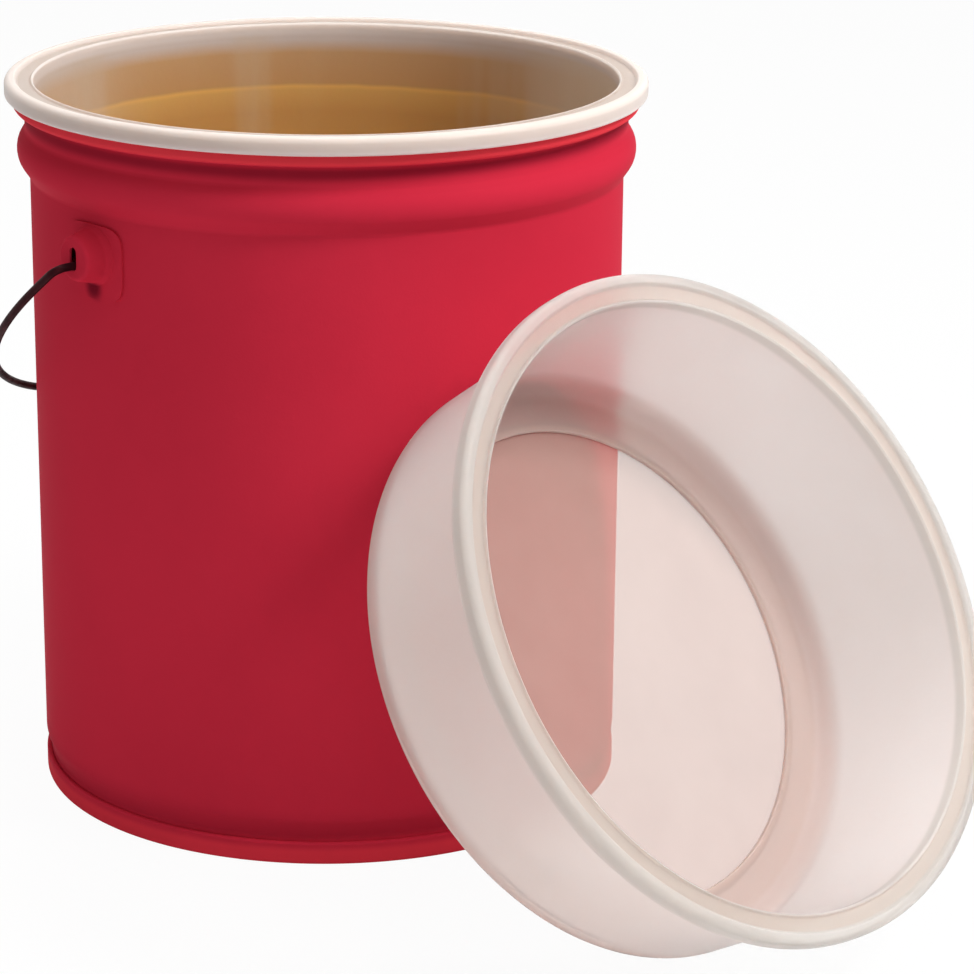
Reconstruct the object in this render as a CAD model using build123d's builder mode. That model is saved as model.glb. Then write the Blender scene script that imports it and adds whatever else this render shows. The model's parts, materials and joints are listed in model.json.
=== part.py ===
# Filter bucket: a steel pail with a wire bail, a moulded strainer seated in its mouth,
# and a second strainer of the same moulding that leans against the pail.
# Millimetres. The origin is the middle of the pail's foot, +Z is up and the two ears lie on X.

import math
import os

from build123d import *

# Pail: sheet steel with a rolled curl at the mouth, a swaged bead and a folded foot seam
sheet = 0.8
pail_radius = 143.3
pail_height = 347.0
neck_radius = 145.2
curl_width = 6.4
curl_drop = 10.2

bead_height = 317.0
bead_radius = 149.3
bead_round = 12.0
bead_flank = 34.0

chime_height = 11.2
chime_foot_round = 2.0
chime_top_slope = 1.2
groove_top = 14.0
groove_end = 22.0
panel_height = 9.0

# Ears: weld plates drawn out into cups, each with an upright slot for the bail
ear_height = 284.5
ear_sheet = 1.2
ear_reach = 156.0
ear_plate_width = 39.0
ear_plate_height = 34.5
ear_plate_corner = 9.0
ear_plate_drop = 3.25
cup_root_radius = 14.6
cup_base = 147.0
cup_base_radius = 12.6
cup_crown_radius = 10.4
cup_crown_round = 2.5
slot_height = 11.0
slot_width = 4.8

# Bail: one round wire, a half circle with short straight arms and hooked ends
wire_radius = 1.9
wire_slack = 0.35
arm_reach = 166.0
arm_length = 17.6
arm_bend = 5.5
tail_reach = 150.2
tail_length = 5.6
tail_bend = 2.6
bail_wall_gap = 0.4

# Strainer: a tapered wall with a rim that hooks over the curl, and a filter mesh under its ledge
strainer_depth = 91.0
strainer_lift = 0.3
rim_radius = 154.4
rim_wall = 2.2
rim_depth = 8.5
rim_round = 3.0
rim_lip = 5.0
rim_channel = 2.0
rim_floor = 2.0
inner_lip = 1.8
inner_lip_height = 1.2
wall_top_radius = 142.2
wall_foot_radius = 138.3
wall_thickness = 1.8
foot_round = 7.0
inner_round = 5.2
ledge_thickness = 2.2
mesh_opening = 112.0
mesh_radius = 118.0
mesh_thickness = 0.4

# Where the second strainer leans: its axis' rise and heading, and where its foot stands
lean_rise = 32.8
lean_heading = -86.3
stand_heading = -96.8
stand_distance = 217.8
stand_gap = 0.05

os.makedirs("parts", exist_ok=True)


def save(piece, name):
    """Labels a finished piece and writes it as its own node."""
    piece.label = name
    export_step(piece, f"parts/{name}.step")


# Pail body: the line is the sheet's inner face, from the foot seam over the bead to the curl
wall_inside = pail_radius - sheet
neck_inside = neck_radius - sheet
groove_inside = pail_radius - 4 * sheet
flank = math.radians(bead_flank)
crest_centre = bead_radius - bead_round
crest_inside = bead_round - sheet
crest_run = crest_centre + crest_inside * math.cos(flank)
crest_rise = crest_inside * math.sin(flank)


def flank_rise(wall):
    """How far above or below the bead's middle its straight flank leaves a wall of this radius."""
    return crest_rise + (crest_run - wall) / math.tan(flank)


with BuildPart() as pail_body:
    with BuildSketch(Plane.XZ):
        with BuildLine():
            lower = Polyline(
                (groove_inside, sheet),
                (groove_inside, groove_top),
                (wall_inside, groove_end),
                (wall_inside, bead_height - flank_rise(wall_inside)),
                (crest_run, bead_height - crest_rise),
            )
            crest = JernArc(lower @ 1, (math.sin(flank), math.cos(flank)), crest_inside, 2 * bead_flank)
            Polyline(
                crest @ 1,
                (neck_inside, bead_height + flank_rise(neck_inside)),
                (neck_inside, pail_height - curl_drop / 2),
            )
            offset(amount=sheet, kind=Kind.INTERSECTION, side=Side.RIGHT)
        make_face()
        with Locations((neck_inside + curl_width / 2, pail_height - curl_drop / 2)):
            SlotOverall(curl_drop, curl_width, rotation=90)
    revolve(axis=Axis.Z)
save(pail_body.part, "pail_body")

# Pail bottom: a sunk panel whose edge is folded round the foot of the body
chuck_wall = groove_inside - sheet
fold_inside = groove_inside + sheet

with BuildPart() as pail_bottom:
    with BuildSketch(Plane.XZ):
        with BuildLine():
            FilletPolyline(
                (0, panel_height - sheet),
                (chuck_wall, panel_height - sheet),
                (chuck_wall, 0),
                (pail_radius, 0),
                (pail_radius, chime_height - chime_top_slope),
                (pail_radius - chime_top_slope, chime_height),
                (fold_inside, chime_height),
                (fold_inside, sheet),
                (groove_inside, sheet),
                (groove_inside, panel_height),
                (0, panel_height),
                radius=[0, 0, 0, chime_foot_round, 0, 0, 0, 0, 0, 0, 0],
                close=True,
            )
        make_face()
    revolve(axis=Axis.Z)
save(pail_bottom.part, "pail_bottom")


def make_ear(side):
    """One ear: a plate that hugs the wall, drawn out into a cup with an upright slot in its face."""
    face = Plane(origin=(0, 0, ear_height), x_dir=(0, side, 0), z_dir=(side, 0, 0))
    section = Plane(origin=(0, 0, ear_height), x_dir=(side, 0, 0), z_dir=(0, -side, 0))
    cup_axis = Axis((0, 0, ear_height), (side, 0, 0))
    plate_reach = pail_radius + ear_sheet
    cup_inside = ear_reach - ear_sheet
    with BuildPart() as ear:
        with BuildSketch(face):
            with Locations((0, -ear_plate_drop)):
                RectangleRounded(ear_plate_width, ear_plate_height, ear_plate_corner)
        extrude(amount=plate_reach)
        with BuildSketch(Plane.XY.offset(ear_height - ear_plate_width)):
            Circle(plate_reach)
        extrude(amount=2 * ear_plate_width, mode=Mode.INTERSECT)
        with BuildSketch(section):
            with BuildLine():
                FilletPolyline(
                    (plate_reach - ear_plate_width / 2, 0),
                    (plate_reach - ear_plate_width / 2, cup_root_radius),
                    (pail_radius, cup_root_radius),
                    (cup_base, cup_base_radius),
                    (ear_reach, cup_crown_radius),
                    (ear_reach, 0),
                    radius=[0, 0, 0, 0, cup_crown_round, 0],
                    close=True,
                )
            make_face()
        revolve(axis=cup_axis)
        with BuildSketch(section):
            with BuildLine():
                Polyline(
                    (0, 0),
                    (0, cup_base_radius - ear_sheet),
                    (cup_base, cup_base_radius - ear_sheet),
                    (cup_inside, cup_crown_radius - ear_sheet),
                    (cup_inside, 0),
                    close=True,
                )
            make_face()
        revolve(axis=cup_axis, mode=Mode.SUBTRACT)
        with BuildSketch(face.offset(cup_inside - ear_sheet)):
            SlotOverall(slot_height, slot_width, rotation=90)
        extrude(amount=3 * ear_sheet, mode=Mode.SUBTRACT)
        Cylinder(radius=pail_radius, height=3 * pail_height, mode=Mode.SUBTRACT)
    return ear.part


save(make_ear(-1), "left_ear")
save(make_ear(1), "right_ear")

# Bail: its wire lies at the foot of the slots, and it hangs behind the pail against the wall
pivot_height = ear_height - slot_height / 2 + wire_slack + wire_radius
bail_hang = math.asin((pail_radius + wire_radius + bail_wall_gap) / (arm_length + arm_reach))
bail_plane = Plane(
    origin=(0, 0, pivot_height),
    x_dir=(1, 0, 0),
    z_dir=(0, math.cos(bail_hang), math.sin(bail_hang)),
)

with BuildPart() as bail:
    with BuildLine(bail_plane) as wire_line:
        hook = FilletPolyline(
            (-tail_reach, -tail_length),
            (-tail_reach, 0),
            (-arm_reach, 0),
            (-arm_reach, arm_length),
            radius=[tail_bend, arm_bend],
        )
        CenterArc((0, arm_length), arm_reach, 180, -180)
        FilletPolyline(
            (arm_reach, arm_length),
            (arm_reach, 0),
            (tail_reach, 0),
            (tail_reach, -tail_length),
            radius=[arm_bend, tail_bend],
        )
    with BuildSketch(Plane(origin=hook @ 0, z_dir=hook % 0)):
        Circle(wire_radius)
    sweep(path=wire_line.wire())
save(bail.part, "bail")


def make_strainer_frame(seat):
    """The moulding, from a plane at its foot: ledge, tapered wall and hooked rim."""
    floor = strainer_depth - rim_channel
    underside = floor - rim_floor
    skirt_inside = rim_radius - rim_wall
    channel_edge = rim_radius - rim_lip
    wall_top = wall_top_radius - wall_thickness
    with BuildPart() as frame:
        with BuildSketch(Plane(origin=seat.origin, x_dir=seat.x_dir, z_dir=-seat.y_dir)):
            with BuildLine():
                FilletPolyline(
                    (mesh_opening, 0),
                    (wall_foot_radius, 0),
                    (wall_top_radius, underside),
                    (skirt_inside, underside),
                    (skirt_inside, strainer_depth - rim_depth),
                    (rim_radius, strainer_depth - rim_depth),
                    (rim_radius, strainer_depth - rim_round),
                    (rim_radius - rim_round / 2, strainer_depth),
                    (channel_edge, strainer_depth),
                    (channel_edge - rim_channel / 2, floor),
                    (wall_top + inner_lip, floor),
                    (wall_top + inner_lip / 2, floor + inner_lip_height),
                    (wall_top, floor),
                    (wall_foot_radius - wall_thickness, ledge_thickness),
                    (mesh_opening, ledge_thickness),
                    radius=[0, foot_round, 0, 0, 0, 0, 0, 0, 0, 0, 0, 0, 0, inner_round, 0],
                    close=True,
                )
            make_face()
        revolve(axis=Axis(seat.origin, seat.z_dir))
    return frame.part


def make_strainer_mesh(seat):
    """The filter mesh, bonded under the ledge."""
    with BuildPart() as mesh:
        with BuildSketch(seat):
            Circle(mesh_radius)
        extrude(amount=-mesh_thickness)
    return mesh.part


# The seated strainer hangs by its rim on the pail's curl
rim_underside = strainer_depth - rim_channel - rim_floor
seated = Plane(origin=(0, 0, pail_height + strainer_lift - rim_underside))
save(make_strainer_frame(seated), "seated_strainer_frame")
save(make_strainer_mesh(seated), "seated_strainer_mesh")

# The second strainer stands on its rounded foot edge and leans on the pail's wall
rise = math.radians(lean_rise)
heading = math.radians(lean_heading)
stand = math.radians(stand_heading)
taper = math.atan((wall_top_radius - wall_foot_radius) / rim_underside)
edge_radius = wall_foot_radius + foot_round * (math.tan(taper) - 1 / math.cos(taper))
foot_middle = edge_radius * math.cos(rise) + foot_round * (1 - math.sin(rise))
leaning = Plane(
    origin=(stand_distance * math.cos(stand), stand_distance * math.sin(stand), foot_middle + stand_gap),
    x_dir=(-math.sin(heading), math.cos(heading), 0),
    z_dir=(math.cos(heading) * math.cos(rise), math.sin(heading) * math.cos(rise), math.sin(rise)),
)
save(make_strainer_frame(leaning), "spare_strainer_frame")
save(make_strainer_mesh(leaning), "spare_strainer_mesh")
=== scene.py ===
import json
import math

import bmesh
import bpy
from mathutils import Matrix, Vector


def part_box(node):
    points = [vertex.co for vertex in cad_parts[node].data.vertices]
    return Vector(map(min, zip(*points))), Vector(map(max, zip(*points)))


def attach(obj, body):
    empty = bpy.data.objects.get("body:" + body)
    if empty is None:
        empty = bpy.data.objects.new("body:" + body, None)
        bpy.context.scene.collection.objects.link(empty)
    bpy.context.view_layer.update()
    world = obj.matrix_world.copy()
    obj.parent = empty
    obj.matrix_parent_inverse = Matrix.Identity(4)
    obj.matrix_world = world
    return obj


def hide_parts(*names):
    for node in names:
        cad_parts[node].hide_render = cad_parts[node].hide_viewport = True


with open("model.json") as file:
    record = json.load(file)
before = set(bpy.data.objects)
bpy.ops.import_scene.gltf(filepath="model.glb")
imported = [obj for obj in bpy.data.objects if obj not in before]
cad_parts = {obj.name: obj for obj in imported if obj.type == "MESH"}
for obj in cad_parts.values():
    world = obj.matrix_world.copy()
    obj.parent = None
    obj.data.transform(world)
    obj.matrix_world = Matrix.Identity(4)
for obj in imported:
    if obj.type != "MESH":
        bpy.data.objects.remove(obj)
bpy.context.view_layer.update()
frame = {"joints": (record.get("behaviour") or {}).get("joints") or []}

MM = 0.001


# Sizes, in metres, from the frame where it has them

foot_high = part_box("pail_bottom")[1]
body_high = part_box("pail_body")[1]
ear_low, ear_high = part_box("right_ear")
rim_low, rim_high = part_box("seated_strainer_frame")
mesh_low, mesh_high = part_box("seated_strainer_mesh")

sheet = 0.8 * MM
pail_radius = foot_high.x
pail_height = body_high.z
curl_width = 6.4 * MM
curl_drop = 10.2 * MM
curl_low = pail_height - curl_drop
curl_gap = 0.3 * MM
neck_inside = body_high.x - curl_width
wall_inside = pail_radius - sheet
groove_inside = pail_radius - 4 * sheet
groove_top = 14.0 * MM
groove_end = 22.0 * MM
groove_round = 6.0 * MM
wall_foot_round = 8.0 * MM
bead_height = 317.0 * MM
bead_radius = 149.3 * MM
bead_round = 12.0 * MM
bead_flank = math.radians(34.0)
flank_round = 5.0 * MM
chime_height = foot_high.z
panel_height = 9.0 * MM

ear_height = 284.5 * MM
ear_sheet = 1.2 * MM
ear_reach = ear_high.x
ear_top, ear_foot = ear_high.z, ear_low.z
ear_half_width = ear_high.y
cup_base = 147.0 * MM
cup_base_radius = 12.6 * MM
cup_base_round = 3.0 * MM
cup_root_flare = 1.6 * MM
cup_crown_radius = 10.4 * MM
cup_crown_round = 2.5 * MM
slot_height = 11.0 * MM
slot_width = 4.8 * MM

wire_radius = 1.9 * MM
wire_end_round = 0.4 * MM
arm_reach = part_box("bail")[1].x - wire_radius
arm_length = 17.6 * MM
arm_bend = 5.5 * MM
tail_reach = 150.2 * MM
tail_length = 5.6 * MM
tail_bend = 2.6 * MM
bail_wall_gap = 0.4 * MM

strainer_depth = rim_high.z - rim_low.z
rim_radius = rim_high.x
rim_wall = 2.2 * MM
rim_depth = 8.5 * MM
rim_lip = 5.0 * MM
rim_channel = 2.0 * MM
rim_floor = 2.0 * MM
inner_lip = 1.8 * MM
inner_lip_height = 1.2 * MM
strainer_wall = 1.8 * MM
wall_top_radius = 142.2 * MM
wall_foot_radius = 138.3 * MM
foot_round = 7.0 * MM
inner_round = 11.0 * MM
ledge_thickness = 2.2 * MM
mesh_opening = 112.0 * MM
mesh_radius = mesh_high.x
mesh_thickness = mesh_high.z - mesh_low.z
cloth_radius = mesh_radius - 1 * MM
ripple_height = 0.35 * MM
ripple_start = 30 * MM

# How many steps a round shape is turned in
pail_steps = 256
ear_steps = 96
moulding_steps = 240
cloth_steps = 120
wire_sides = 28


def colour(red, green, blue):
    """A colour from its 0 to 255 screen values, turned into linear light."""
    shares = (value / 255 for value in (red, green, blue))
    return tuple(s / 12.92 if s <= 10 / 255 else ((s + 0.055) / 1.055) ** 2.4 for s in shares) + (1,)


# Node helpers


class Finish:
    """A material under construction: its nodes, its links and its principled shader."""

    def __init__(self, name):
        self.material = bpy.data.materials.new(name)
        self.material.use_nodes = True
        self.tree = self.material.node_tree
        self.shader = self.tree.nodes["Principled BSDF"]
        self.place = self.add("ShaderNodeTexCoord").outputs["Object"]

    def add(self, kind, **settings):
        node = self.tree.nodes.new(kind)
        for key, value in settings.items():
            setattr(node, key, value)
        return node

    def feed(self, socket, value):
        """Links a node's output into a socket, or sets the socket to a plain value."""
        if isinstance(value, bpy.types.NodeSocket):
            self.tree.links.new(value, socket)
        elif value is not None:
            socket.default_value = value

    def set(self, **sockets):
        for key, value in sockets.items():
            self.feed(self.shader.inputs[key.replace("_", " ")], value)

    def noise(self, scale, detail=3.0, rough=0.55, place=None):
        node = self.add("ShaderNodeTexNoise")
        node.inputs["Scale"].default_value = scale
        node.inputs["Detail"].default_value = detail
        node.inputs["Roughness"].default_value = rough
        self.feed(node.inputs["Vector"], place or self.place)
        return node.outputs["Fac"]

    def ramp(self, value, stops):
        node = self.add("ShaderNodeValToRGB")
        elements = node.color_ramp.elements
        while len(elements) < len(stops):
            elements.new(0.5)
        for element, (position, tint) in zip(elements, stops):
            element.position = position
            element.color = tint
        self.feed(node.inputs["Fac"], value)
        return node.outputs["Color"]

    def spread(self, value, low, high, to_low, to_high, how="SMOOTHSTEP"):
        node = self.add("ShaderNodeMapRange", interpolation_type=how)
        ends = {"From Min": low, "From Max": high, "To Min": to_low, "To Max": to_high}
        for key, number in ends.items():
            node.inputs[key].default_value = number
        self.feed(node.inputs["Value"], value)
        return node.outputs["Result"]

    def mix(self, factor, first, second):
        node = self.add("ShaderNodeMix", data_type="RGBA")
        for key, value in (("Factor", factor), ("A", first), ("B", second)):
            self.feed(node.inputs[key], value)
        return node.outputs["Result"]

    def maths(self, how, first, second=None):
        node = self.add("ShaderNodeMath", operation=how)
        for socket, value in zip(node.inputs, (first, second)):
            self.feed(socket, value)
        return node.outputs["Value"]

    def vector(self, how, first, second=None):
        """Maths on a place: a dot product or a distance gives a number, anything else a place."""
        node = self.add("ShaderNodeVectorMath", operation=how)
        for socket, value in zip(node.inputs, (first, second)):
            self.feed(socket, value)
        return node.outputs["Value" if how in ("DOT_PRODUCT", "DISTANCE") else "Vector"]

    def axes(self, place):
        """The X, Y and Z of a place."""
        node = self.add("ShaderNodeSeparateXYZ")
        self.feed(node.inputs["Vector"], place)
        return node.outputs

    def bump(self, height, distance):
        node = self.add("ShaderNodeBump")
        node.inputs["Strength"].default_value = 1.0
        node.inputs["Distance"].default_value = distance
        self.feed(node.inputs["Height"], height)
        self.set(Normal=node.outputs["Normal"])


# Finishes


def red_enamel():
    """Sprayed red enamel: dulled patches, a painted highlight on the curl and foot seam, and painted
    shade in the folds and under the cups.
    """
    finish = Finish("red_enamel")
    patches = finish.noise(9.0, detail=4.0)
    height = finish.axes(finish.place)["Z"]
    # Painted highlight: the curl's face below the rim and the lip of the foot seam are painted brighter
    # red.
    curl_highlight = finish.spread(height, curl_low, curl_low + 1.5 * MM, 0.0, 0.7)
    seam_highlight = finish.spread(height, chime_height - 5 * MM, chime_height - 1 * MM, 0.7, 0.0)
    paint = finish.ramp(patches, [(0.3, colour(198, 42, 63)), (0.7, colour(204, 45, 66))])
    paint = finish.mix(curl_highlight, paint, colour(236, 66, 74))
    paint = finish.mix(seam_highlight, paint, colour(232, 60, 74))

    # Painted shade: darker red in the neck under the curl, in the groove over the foot seam and under
    # each ear's cup.
    under_curl = finish.spread(height, curl_low - 3 * MM, curl_low, 0.62, 0.0)
    above_bead = finish.spread(height, curl_low - 9 * MM, curl_low - 4 * MM, 0.0, 1.0)
    neck_shade = finish.maths("MULTIPLY", under_curl, above_bead)
    over_seam = finish.spread(height, chime_height, chime_height + 2 * MM, 0.0, 1.0)
    below_wall = finish.spread(height, groove_top, groove_end + 8 * MM, 0.28, 0.0)
    foot_shade = finish.maths("MULTIPLY", over_seam, below_wall)
    under_cup = (pail_radius + ear_sheet, 0, ear_height - 15.5 * MM)
    from_cup = finish.vector("DISTANCE", finish.vector("ABSOLUTE", finish.place), under_cup)
    cup_shade = finish.spread(from_cup, 2 * MM, 8 * MM, 0.85, 0.0)
    painted_shade = finish.maths("ADD", finish.maths("ADD", neck_shade, foot_shade), cup_shade)

    finish.bump(finish.noise(900.0, detail=1.0), 0.00004)
    finish.set(
        Base_Color=finish.mix(painted_shade, paint, colour(104, 12, 32)),
        Roughness=finish.spread(patches, 0.3, 0.7, 0.50, 0.60),
        Specular_IOR_Level=0.006,
    )
    return finish.material


def gold_lacquer():
    """The thin gold lacquer that lines the pail."""
    finish = Finish("gold_lacquer")
    clouds = finish.noise(14.0, detail=5.0)
    finish.bump(finish.noise(700.0, detail=1.0), 0.00003)
    finish.set(
        Base_Color=finish.ramp(clouds, [(0.3, colour(150, 112, 62)), (0.7, colour(172, 132, 76))]),
        Roughness=finish.spread(clouds, 0.3, 0.7, 0.3, 0.42),
        Metallic=0.35,
    )
    return finish.material


def dark_wire():
    """Drawn wire, browned nearly black, with worn streaks."""
    finish = Finish("dark_wire")
    streaks = finish.noise(160.0, detail=4.0)
    finish.bump(finish.noise(1500.0, detail=2.0), 0.00004)
    finish.set(
        Base_Color=finish.ramp(streaks, [(0.35, colour(40, 10, 16)), (0.75, colour(64, 18, 24))]),
        Roughness=finish.spread(streaks, 0.3, 0.8, 0.5, 0.34),
        Specular_IOR_Level=0.04,
    )
    return finish.material


def own_place(finish, place):
    """A point's place in a strainer's own frame, however the strainer stands."""
    back = place.inverted()
    own = finish.add("ShaderNodeMapping")
    own.inputs["Location"].default_value = back.translation
    own.inputs["Rotation"].default_value = back.to_euler()
    finish.feed(own.inputs["Vector"], finish.place)
    return own.outputs["Vector"]


def own_measures(finish, place):
    """Height over a strainer's foot and reach from its axis, however it stands."""
    axes = finish.axes(own_place(finish, place))
    squares = (finish.maths("POWER", axes[way], 2.0) for way in ("X", "Y"))
    return axes["Z"], finish.maths("SQRT", finish.maths("ADD", *squares))


def rim_shade_share(finish, height):
    """Where the moulding is rim, which is thicker: it is painted darker there, as shade."""
    skirt = strainer_depth - rim_depth
    return finish.spread(height, skirt, skirt + 3 * MM, 0.0, 1.0)


def channel_shade_share(finish, height, reach):
    """Where the rim is sunk: its channel is painted darker tan, as shade."""
    edge = rim_radius - rim_lip
    outer = finish.spread(reach, edge - 2.0 * MM, edge - 0.4 * MM, 1.0, 0.0)
    inner = finish.spread(reach, wall_top_radius - 1.6 * MM, wall_top_radius - 0.4 * MM, 0.0, 1.0)
    high = finish.spread(height, strainer_depth - 5 * MM, strainer_depth - 3 * MM, 0.0, 1.0)
    return finish.maths("MULTIPLY", finish.maths("MULTIPLY", outer, inner), high)


def amber_film(finish, clean, height):
    """The film on the strainer's inner wall: pale under the rim, tan, then a golden tide line, with
    painted sheen towards its left and right.
    """
    film_depth = 46 * MM
    wavy = finish.maths("ADD", height, finish.maths("MULTIPLY", finish.noise(18.0), 3 * MM))
    level = finish.spread(wavy, strainer_depth - film_depth, strainer_depth, 0.0, 1.0, how="LINEAR")
    film = finish.ramp(level, [
        (0.00, colour(194, 144, 82)),
        (0.25, colour(212, 161, 94)),
        (0.29, colour(226, 174, 98)),
        (0.33, colour(194, 148, 98)),
        (0.68, colour(198, 156, 112)),
        (0.76, colour(204, 176, 154)),
        (0.83, colour(210, 193, 183)),
    ])
    drawn_out = finish.vector("MULTIPLY", finish.place, (1, 1, 0.06))
    streaks = finish.noise(22.0, detail=3.0, place=drawn_out)
    film = finish.mix(finish.spread(streaks, 0.48, 0.72, 0.0, 0.45), film, colour(206, 182, 156))

    # Painted sheen and light through the wall: the film is painted paler towards the wall's left and
    # right as the camera sees them.
    across = finish.vector("DOT_PRODUCT", finish.place, (0.748, -0.664, 0))
    painted_sheen_left = finish.spread(across, -0.138, -0.085, 0.5, 0.0)
    painted_sheen_right = finish.spread(across, 0.085, 0.138, 0.0, 0.85)
    film = finish.mix(painted_sheen_left, film, colour(204, 180, 160))
    film = finish.mix(painted_sheen_right, film, colour(226, 202, 178))

    outward = finish.vector("MULTIPLY", finish.place, (1, 1, 0))
    normal = finish.add("ShaderNodeNewGeometry").outputs["Normal"]
    facing_out = finish.vector("DOT_PRODUCT", outward, normal)
    return finish.mix(finish.spread(facing_out, -0.06, 0.02, 1.0, 0.35), clean, film)


def natural_plastic(name, place, filmed=False):
    """Milky natural plastic, with or without the amber film, with painted shade in the rim, its channel,
    the corner and on the ledge, and painted light at the ledge's edge by the mesh.
    """
    finish = Finish(name)
    height, reach = own_measures(finish, place)
    clouds = finish.noise(11.0, detail=3.0)
    tint = finish.ramp(clouds, [(0.3, colour(243, 234, 230)), (0.7, colour(248, 240, 237))])
    # The rim and channel tints set here are painted shade.
    if filmed:
        tint = amber_film(finish, tint, height)
        rim_shade_tint, channel_shade_tint = colour(222, 207, 198), colour(188, 170, 158)
        gloss, clearness, bending = 0.12, 0.12, 1.45
    else:
        rim_shade_tint, channel_shade_tint = colour(221, 216, 211), colour(221, 208, 199)
        gloss, clearness, bending = 0.4, 0.56, 1.15

    # Painted shade: a darker pinkish band in the corner between wall and ledge.
    corner_shade = finish.spread(height, 3 * MM, 16 * MM, 0.7, 0.0)
    # Painted shade on the ledge, with a pink cast of red light reflected from the pail.
    ledge_shade = finish.spread(height, 2.3 * MM, 3.2 * MM, 0.8, 0.0)
    # Painted light: the ledge's shadowed inner edge by the mesh is tinted lighter.
    mesh_edge_light = finish.spread(reach, mesh_opening + 1 * MM, mesh_opening + 4 * MM, 0.8, 0.0)
    # Painted shade: the rim is tinted darker than the wall.
    tint = finish.mix(rim_shade_share(finish, height), tint, rim_shade_tint)
    # Painted shade: the rim's channel is tinted darker tan.
    tint = finish.mix(channel_shade_share(finish, height, reach), tint, channel_shade_tint)
    tint = finish.mix(corner_shade, tint, colour(207, 184, 177))
    tint = finish.mix(ledge_shade, tint, colour(214, 194, 186))
    tint = finish.mix(mesh_edge_light, tint, colour(232, 210, 200))

    finish.bump(finish.noise(420.0, detail=2.0), 0.00005)
    finish.set(
        Base_Color=tint,
        Roughness=finish.spread(clouds, 0.3, 0.7, 0.32, 0.42),
        Subsurface_Weight=1.0,
        Subsurface_Scale=0.007,
        Subsurface_Radius=(1.0, 0.95, 0.93),
        Specular_IOR_Level=gloss,
        Transmission_Weight=clearness,
        IOR=bending,
    )
    return finish.material


def filter_cloth(name, place):
    """Fine woven nylon: a see-through haze, threads half a millimetre apart and faint clouds."""
    finish = Finish(name)
    own = own_place(finish, place)
    threads = []
    for way in ("X", "Y"):
        bands = finish.add("ShaderNodeTexWave", wave_type="BANDS", bands_direction=way)
        bands.inputs["Scale"].default_value = 630.0
        finish.feed(bands.inputs["Vector"], own)
        threads.append(bands.outputs["Fac"])
    weave = finish.maths("MAXIMUM", *threads)
    between = finish.spread(weave, 0.2, 0.9, 0.12, 0.0)
    clouds = finish.ramp(
        finish.noise(26.0, detail=2.0), [(0.2, colour(194, 165, 154)), (0.8, colour(201, 173, 162))])
    finish.bump(weave, 0.00008)
    finish.set(
        Base_Color=finish.mix(between, clouds, colour(176, 146, 136)),
        Alpha=0.64,
        Roughness=0.7,
        Specular_IOR_Level=0.2,
    )
    return finish.material


# Building helpers


def verts_of(parts):
    """The vertices among the parts that an operator gives back."""
    return [part for part in parts if isinstance(part, bmesh.types.BMVert)]


def edges_of(parts):
    """The edges among the parts that an operator gives back."""
    return [part for part in parts if isinstance(part, bmesh.types.BMEdge)]


def round_corner(bm, corner, radius):
    """Rounds one corner of an outline to this radius."""
    ways = [edge.other_vert(corner).co - corner.co for edge in corner.link_edges]
    inside = ways[0].normalized().angle(ways[1].normalized())
    steps = max(3, round((math.pi - inside) / math.radians(10)))
    bmesh.ops.bevel(
        bm, geom=[corner], offset=radius / math.tan(inside / 2), offset_type="OFFSET",
        affect="VERTICES", segments=steps, profile=0.5, material=-1, clamp_overlap=False,
    )


def outline(bm, corners, closed):
    """Draws an outline on the XZ plane: a corner is its distance out, its height and any rounding."""
    verts = [bm.verts.new((corner[0], 0, corner[1])) for corner in corners]
    for first, second in zip(verts, verts[1:] + verts[:1] if closed else verts[1:]):
        bm.edges.new((first, second))
    for vert, corner in zip(verts, corners):
        if len(corner) > 2:
            round_corner(bm, vert, corner[2])


def turn(bm, steps):
    """Spins what has been drawn round the Z axis and closes it."""
    bmesh.ops.spin(
        bm, geom=bm.verts[:] + bm.edges[:], cent=(0, 0, 0), axis=(0, 0, 1),
        angle=2 * math.pi, steps=steps, use_merge=True,
    )
    bmesh.ops.remove_doubles(bm, verts=bm.verts[:], dist=1e-7)
    bmesh.ops.recalc_face_normals(bm, faces=bm.faces[:])


def finished(bm, name, body, node, materials):
    """Turns a finished shape into a piece that stands for its node and rides on its body."""
    mesh = bpy.data.meshes.new(name)
    bm.to_mesh(mesh)
    bm.free()
    mesh.shade_smooth()
    mesh.set_sharp_from_angle(angle=math.radians(40))
    piece = bpy.data.objects.new(name, mesh)
    bpy.context.collection.objects.link(piece)
    for material in materials:
        mesh.materials.append(material)
    soften = piece.modifiers.new("flat_faces_stay_flat", "WEIGHTED_NORMAL")
    soften.keep_sharp = True
    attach(piece, body)
    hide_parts(node)
    return piece


def frame_joint(name):
    """A joint of the frame by its name."""
    return next(joint for joint in frame["joints"] if joint["name"] == name)


# The pail


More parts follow.
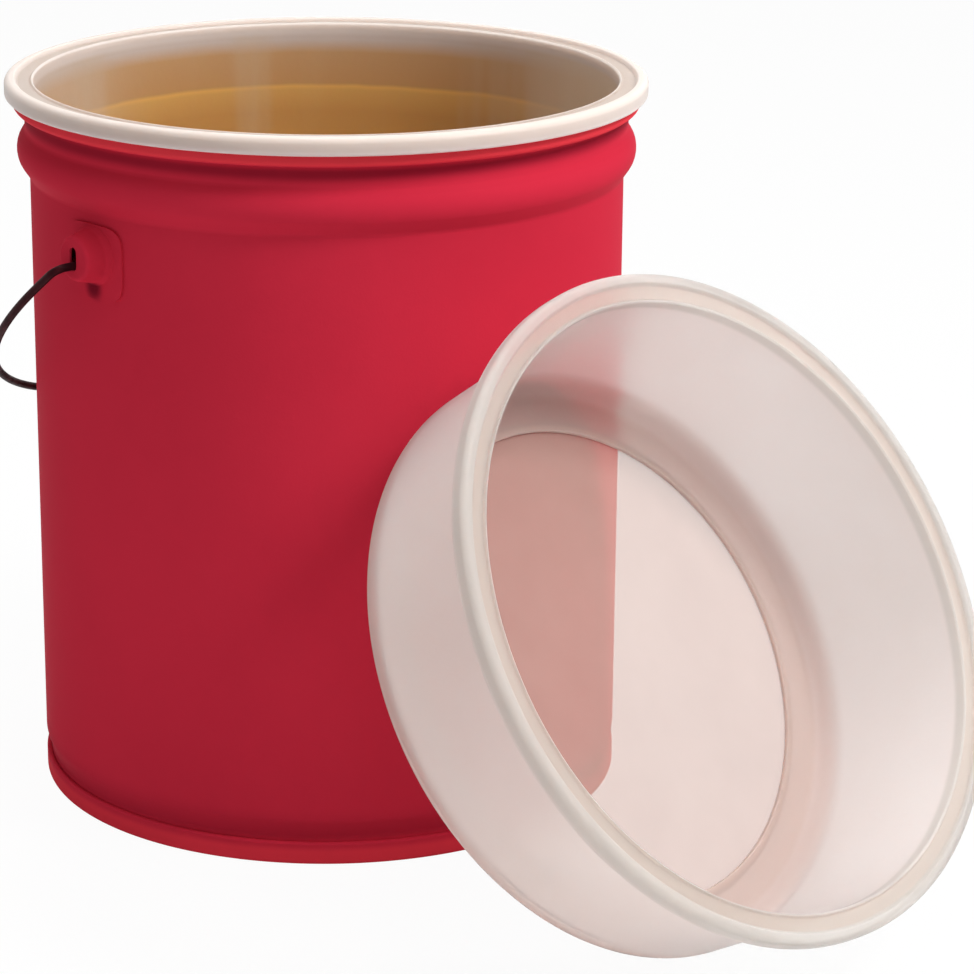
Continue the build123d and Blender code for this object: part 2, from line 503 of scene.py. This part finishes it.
def pail_body(paint, lining):
    """The sheet body: groove at the foot, straight wall, swaged bead, neck and hollow curl."""
    crest_inside = bead_round - sheet
    crest = bead_radius - bead_round + crest_inside / math.cos(bead_flank)

    def flank_foot(wall):
        """How far from the bead's middle its flank meets a wall of this radius."""
        return (crest - wall) / math.tan(bead_flank)

    curl_out = neck_inside + curl_width
    roll = 0.495 * curl_width
    bm = bmesh.new()
    outline(bm, [
        (groove_inside, sheet),
        (groove_inside, groove_top, groove_round),
        (wall_inside, groove_end, wall_foot_round),
        (wall_inside, bead_height - flank_foot(wall_inside), flank_round),
        (crest, bead_height, crest_inside),
        (neck_inside, bead_height + flank_foot(neck_inside), flank_round),
        (neck_inside, pail_height, roll),
        (curl_out, pail_height, roll),
        (curl_out, curl_low, roll),
        (neck_inside + sheet + curl_gap, curl_low),
    ], closed=False)
    turn(bm, pail_steps)
    wall = min(bm.faces, key=lambda face: abs(face.calc_center_median().z - pail_height / 2))
    if wall.normal.dot(wall.calc_center_median()) > 0:
        bmesh.ops.reverse_faces(bm, faces=bm.faces[:])
    bmesh.ops.solidify(bm, geom=bm.faces[:], thickness=sheet)
    for face in bm.faces:
        middle = face.calc_center_median()
        facing_in = face.normal.dot(Vector((middle.x, middle.y, 0))) < 0
        face.material_index = int(facing_in and middle.z < curl_low)
    return finished(bm, "pail_body_sheet", "pail", "pail_body", [paint, lining])


def pail_bottom(paint, lining):
    """The sunk bottom panel, folded round the body's foot edge into the chime."""
    chuck_wall = groove_inside - sheet
    fold_inside = groove_inside + sheet
    bm = bmesh.new()
    outline(bm, [
        (0, panel_height - sheet),
        (chuck_wall, panel_height - sheet, 1.0 * MM),
        (chuck_wall, 0, 1.2 * MM),
        (pail_radius, 0, 2.0 * MM),
        (pail_radius, chime_height, 1.3 * MM),
        (fold_inside, chime_height, 0.6 * MM),
        (fold_inside, sheet),
        (groove_inside, sheet),
        (groove_inside, panel_height, 1.6 * MM),
        (0, panel_height),
    ], closed=False)
    turn(bm, pail_steps)
    for face in bm.faces:
        on_panel = face.calc_center_median().xy.length < groove_inside
        face.material_index = int(face.normal.z > 0.3 and on_panel)
    return finished(bm, "pail_bottom_seam", "pail", "pail_bottom", [paint, lining])


def slot_reach(way):
    """How far the slot's edge is from its middle this way: straight sides with round ends."""
    half_width, straight = slot_width / 2, (slot_height - slot_width) / 2
    if abs(way.y) * half_width <= straight * abs(way.x):
        return half_width / abs(way.x)
    return straight * abs(way.y) + math.sqrt(half_width ** 2 - (straight * way.x) ** 2)


def plate_reach(way):
    """How far the ear plate's edge is from the cup's middle: arched above it, squarer below."""
    height, square = (ear_top - ear_height, 4.0) if way.y > 0 else (ear_height - ear_foot, 5.0)
    across, upright = abs(way.x) / ear_half_width, abs(way.y) / height
    return (across ** square + upright ** square) ** (-1 / square)


def widened(bm, edges, reach):
    """Draws a loop of edges in or out to a new outline, with rings of faces between the two."""
    grown = bmesh.ops.extrude_edge_only(bm, edges=edges)["geom"]
    for vert in verts_of(grown):
        way = vert.co.xy.normalized()
        vert.co.xy = way * reach(way)
    faces = [part for part in grown if isinstance(part, bmesh.types.BMFace)]
    skin = {edge for face in faces for edge in face.edges}
    across = [edge for edge in skin if len(edge.link_faces) == 2 and edge not in edges]
    bmesh.ops.subdivide_edges(bm, edges=across, cuts=4, use_grid_fill=True)


def ear(side, node, paint):
    """A drawn ear: a slotted cup that runs out into a plate bent to the wall."""
    plate = pail_radius + ear_sheet
    bm = bmesh.new()
    outline(bm, [
        (cup_crown_radius - cup_crown_round, ear_reach),
        (cup_crown_radius, ear_reach, 0.9 * cup_crown_round),
        (cup_base_radius, cup_base, cup_base_round),
        (cup_base_radius + cup_root_flare, plate),
    ], closed=False)
    turn(bm, ear_steps)
    edges = [edge for edge in bm.edges if edge.is_boundary]
    crown = [edge for edge in edges if edge.verts[0].co.z > cup_base]
    foot = [edge for edge in edges if edge.verts[0].co.z < cup_base]
    widened(bm, crown, slot_reach)
    widened(bm, foot, plate_reach)
    for vert in bm.verts:
        near_wall = min(1, max(0, (cup_base - vert.co.z) / (cup_base - plate)))
        vert.co.z -= near_wall * (plate - math.sqrt(plate ** 2 - vert.co.x ** 2))
    bmesh.ops.recalc_face_normals(bm, faces=bm.faces[:])
    top = max(bm.faces, key=lambda face: face.calc_center_median().z)
    if top.normal.z < 0:
        bmesh.ops.reverse_faces(bm, faces=bm.faces[:])
    bmesh.ops.solidify(bm, geom=bm.faces[:], thickness=ear_sheet)
    bm.transform(Matrix((
        (0, 0, side, 0),
        (side, 0, 0, 0),
        (0, 1, 0, ear_height),
        (0, 0, 0, 1),
    )))
    return finished(bm, node + "_drawn", "pail", node, [paint])


# The bail


def bail(finish):
    """One wire, drawn out by runs and bends from its first hooked end to the other."""
    pivot = frame_joint("bail_swing")["pos_m"]
    depth = arm_length + arm_reach
    hang = math.asin((pail_radius + wire_radius + bail_wall_gap) / depth)
    bm = bmesh.new()
    start = bmesh.ops.create_circle(
        bm, cap_ends=True, segments=wire_sides, radius=wire_radius,
        matrix=Matrix.Translation((-tail_reach, 0, -tail_length)),
    )
    state = {
        "ring": list({edge for vert in start["verts"] for edge in vert.link_edges}),
        "at": Vector((-tail_reach, 0, -tail_length)),
        "way": Vector((0, 0, 1)),
    }

    def run(length):
        """Draws the wire straight on."""
        grown = bmesh.ops.extrude_edge_only(bm, edges=state["ring"])["geom"]
        fresh = verts_of(grown)
        bmesh.ops.translate(bm, vec=state["way"] * length, verts=fresh)
        state["ring"] = [edge for edge in edges_of(grown) if set(edge.verts) <= set(fresh)]
        state["at"] = state["at"] + state["way"] * length

    def bend(radius, degrees, steps):
        """Draws the wire on round a bend."""
        angle = math.radians(degrees)
        side = Matrix.Rotation(math.copysign(math.pi / 2, angle), 3, "Y") @ state["way"]
        centre = state["at"] + side * radius
        ring_verts = list({vert for edge in state["ring"] for vert in edge.verts})
        spun = bmesh.ops.spin(
            bm, geom=state["ring"] + ring_verts, cent=centre, axis=(0, 1, 0), angle=angle, steps=steps)
        state["ring"] = edges_of(spun["geom_last"])
        turned = Matrix.Rotation(angle, 3, "Y")
        state["at"] = centre + turned @ (state["at"] - centre)
        state["way"] = turned @ state["way"]

    tail_run = tail_length - tail_bend
    cross_run = arm_reach - tail_reach - tail_bend - arm_bend
    arm_run = arm_length - arm_bend
    run(tail_run)
    bend(tail_bend, -90, 10)
    run(cross_run)
    bend(arm_bend, 90, 12)
    run(arm_run)
    bend(arm_reach, 180, 120)
    run(arm_run)
    bend(arm_bend, 90, 12)
    run(cross_run)
    bend(tail_bend, -90, 10)
    run(tail_run)
    bmesh.ops.edgeloop_fill(bm, edges=state["ring"])
    bmesh.ops.recalc_face_normals(bm, faces=bm.faces[:])
    ends = [edge for edge in bm.edges if any(len(face.verts) > 4 for face in edge.link_faces)]
    bmesh.ops.bevel(
        bm, geom=ends, offset=wire_end_round, offset_type="OFFSET", affect="EDGES",
        segments=3, profile=0.5, material=-1,
    )
    bm.transform(Matrix((
        (1, 0, 0, pivot[0]),
        (0, -math.cos(hang), math.sin(hang), pivot[1]),
        (0, -math.sin(hang), -math.cos(hang), pivot[2]),
        (0, 0, 0, 1),
    )))
    return finished(bm, "bail_wire", "bail", "bail", [finish])


# The strainers


def seated_place():
    """Where the seated strainer's foot plane is."""
    return Matrix.Translation((0, 0, rim_low.z))


def leaning_place():
    """Where the leaning strainer's foot plane is: its own axis, at the middle of its mesh."""
    low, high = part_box("spare_strainer_mesh")
    axis = Vector(frame_joint("spare_strainer_away")["axis"]).normalized()
    level = Vector((-axis.y, axis.x, 0)).normalized()
    steep = axis.cross(level)
    foot = (low + high) / 2 + axis * mesh_thickness / 2
    turned = Matrix((level, steep, axis)).transposed().to_4x4()
    return Matrix.Translation(foot) @ turned


def strainer_frame(which, place, plastic):
    """The moulding: ledge, tapered wall, channelled rim and the skirt that hooks over the curl."""
    floor = strainer_depth - rim_channel
    underside = floor - rim_floor
    skirt_foot = strainer_depth - rim_depth
    skirt_inside = rim_radius - rim_wall
    channel_edge = rim_radius - rim_lip
    wall_top = wall_top_radius - strainer_wall
    bm = bmesh.new()
    outline(bm, [
        (mesh_opening, 0, 0.4 * MM),
        (wall_foot_radius, 0, foot_round),
        (wall_top_radius, underside, 0.8 * MM),
        (skirt_inside, underside, 0.8 * MM),
        (skirt_inside, skirt_foot, 0.6 * MM),
        (rim_radius, skirt_foot, 1.4 * MM),
        (rim_radius, strainer_depth, 3.0 * MM),
        (channel_edge, strainer_depth, 0.9 * MM),
        (channel_edge - rim_channel / 2, floor, 0.9 * MM),
        (wall_top + inner_lip, floor, 0.6 * MM),
        (wall_top + inner_lip / 2, floor + inner_lip_height, 0.5 * MM),
        (wall_top, floor, 0.8 * MM),
        (wall_foot_radius - strainer_wall, ledge_thickness, inner_round),
        (mesh_opening, ledge_thickness, 0.8 * MM),
    ], closed=True)
    turn(bm, moulding_steps)
    bm.transform(place)
    return finished(
        bm, which + "_moulding", which, which + "_frame", [plastic])


def strainer_mesh(which, place, cloth):
    """The filter cloth, bonded under the ledge, drawn flat with slight ripples inside it."""
    bm = bmesh.new()
    outline(bm, [(0, -mesh_thickness / 2), (cloth_radius, -mesh_thickness / 2)], closed=False)
    bmesh.ops.subdivide_edges(bm, edges=bm.edges[:], cuts=30)
    turn(bm, cloth_steps)
    for vert in bm.verts:
        free = min(1, max(0, (mesh_opening - vert.co.xy.length) / ripple_start))
        ripple = math.sin(vert.co.x * 62 + 1.3) * math.sin(vert.co.y * 48 + 0.4)
        ripple += 0.5 * math.sin(vert.co.x * 31 - vert.co.y * 77)
        vert.co.z += ripple_height * free * ripple
    bm.transform(place)
    piece = finished(bm, which + "_cloth", which, which + "_mesh", [cloth])
    return piece


# The studio


def seen_share(tree):
    """1 where the camera sees a thing, also in a reflection or through the plastic, or else 0."""
    path = tree.nodes.new("ShaderNodeLightPath")
    seen = path.outputs["Is Camera Ray"]
    for ray in ("Is Transmission Ray", "Is Glossy Ray"):
        either = tree.nodes.new("ShaderNodeMath")
        either.operation = "MAXIMUM"
        tree.links.new(seen, either.inputs[0])
        tree.links.new(path.outputs[ray], either.inputs[1])
        seen = either.outputs["Value"]
    return seen


def blend_shaders(tree, share, first, second, output):
    """Shows the second shader by this share, and otherwise the first."""
    blend = tree.nodes.new("ShaderNodeMixShader")
    tree.links.new(share, blend.inputs["Fac"])
    tree.links.new(first, blend.inputs[1])
    tree.links.new(second, blend.inputs[2])
    tree.links.new(blend.outputs["Shader"], tree.nodes[output].inputs["Surface"])


def pale_floor():
    """A wide floor that looks white and keeps the object's shadow."""
    half_width, drop, glow_share = 40.0, 0.2 * MM, 0.95
    bm = bmesh.new()
    bmesh.ops.create_grid(bm, x_segments=1, y_segments=1, size=half_width)
    mesh = bpy.data.meshes.new("floor")
    bm.to_mesh(mesh)
    bm.free()
    floor = bpy.data.objects.new("floor", mesh)
    bpy.context.collection.objects.link(floor)
    floor.location.z = -drop
    white = Finish("pale_floor")
    white.set(Base_Color=colour(238, 238, 238), Roughness=0.9)
    glow = white.add("ShaderNodeEmission")
    glow.inputs["Color"].default_value = (1, 1, 1, 1)
    share = white.maths("MULTIPLY", seen_share(white.tree), glow_share)
    blend_shaders(
        white.tree, share, white.shader.outputs["BSDF"], glow.outputs["Emission"], "Material Output")
    mesh.materials.append(white.material)


def white_surround():
    """A soft light from all round, which looks white where it is seen."""
    world = bpy.data.worlds.new("surround")
    bpy.context.scene.world = world
    world.use_nodes = True
    tree = world.node_tree
    light = tree.nodes["Background"]
    shown = tree.nodes.new("ShaderNodeBackground")
    for background, strength in ((light, 0.31), (shown, 1.0)):
        background.inputs["Color"].default_value = (1, 1, 1, 1)
        background.inputs["Strength"].default_value = strength
    blend_shaders(
        tree, seen_share(tree), light.outputs["Background"], shown.outputs["Background"], "World Output")


def lamps():
    """Three soft round lamps, each turned to the middle of the object."""
    aim = Vector((0, -0.1, 0.18))
    for name, place, width, power in (
        ("key", (0.50, -1.45, 1.70), 0.65, 32.0),
        ("front_top", (-0.35, -0.75, 2.20), 1.2, 11.0),
        ("back_top", (0.35, 0.50, 2.20), 1.4, 22.0),
    ):
        lamp = bpy.data.lights.new(name, "AREA")
        lamp.shape = "DISK"
        lamp.size = width
        lamp.energy = power
        holder = bpy.data.objects.new(name, lamp)
        bpy.context.collection.objects.link(holder)
        holder.location = place
        holder.rotation_euler = (aim - Vector(place)).to_track_quat("-Z", "Y").to_euler()


def camera():
    """The photograph's view: from the front left of the pail, a little above its rim."""
    side = math.radians(41.6)
    distance, height = 1.67764, 0.67258
    heading = side + math.radians(2.684)
    look_down, roll = math.radians(17.546), math.radians(0.531)
    data = bpy.data.cameras.new("camera")
    data.sensor_width = 36.0
    data.lens = 130.29
    holder = bpy.data.objects.new("camera", data)
    bpy.context.collection.objects.link(holder)
    holder.matrix_world = (
        Matrix.Translation((-distance * math.sin(side), -distance * math.cos(side), height))
        @ Matrix.Rotation(-heading, 4, "Z")
        @ Matrix.Rotation(math.pi / 2 - look_down, 4, "X")
        @ Matrix.Rotation(roll, 4, "Z")
    )
    bpy.context.scene.camera = holder


def build():
    """Makes every piece, the pail first and the leaning strainer last."""
    paint = red_enamel()
    lining = gold_lacquer()
    seated, leaning = seated_place(), leaning_place()
    pail_body(paint, lining)
    pail_bottom(paint, lining)
    ear(-1, "left_ear", paint)
    ear(1, "right_ear", paint)
    bail(dark_wire())
    stained = natural_plastic("stained_plastic", seated, filmed=True)
    strainer_frame("seated_strainer", seated, stained)
    strainer_mesh("seated_strainer", seated, filter_cloth("seated_cloth", seated))
    strainer_frame("spare_strainer", leaning, natural_plastic("natural_plastic", leaning))
    strainer_mesh("spare_strainer", leaning, filter_cloth("spare_cloth", leaning))


bpy.context.scene.view_settings.view_transform = "Standard"
build()
pale_floor()
white_surround()
lamps()
camera()
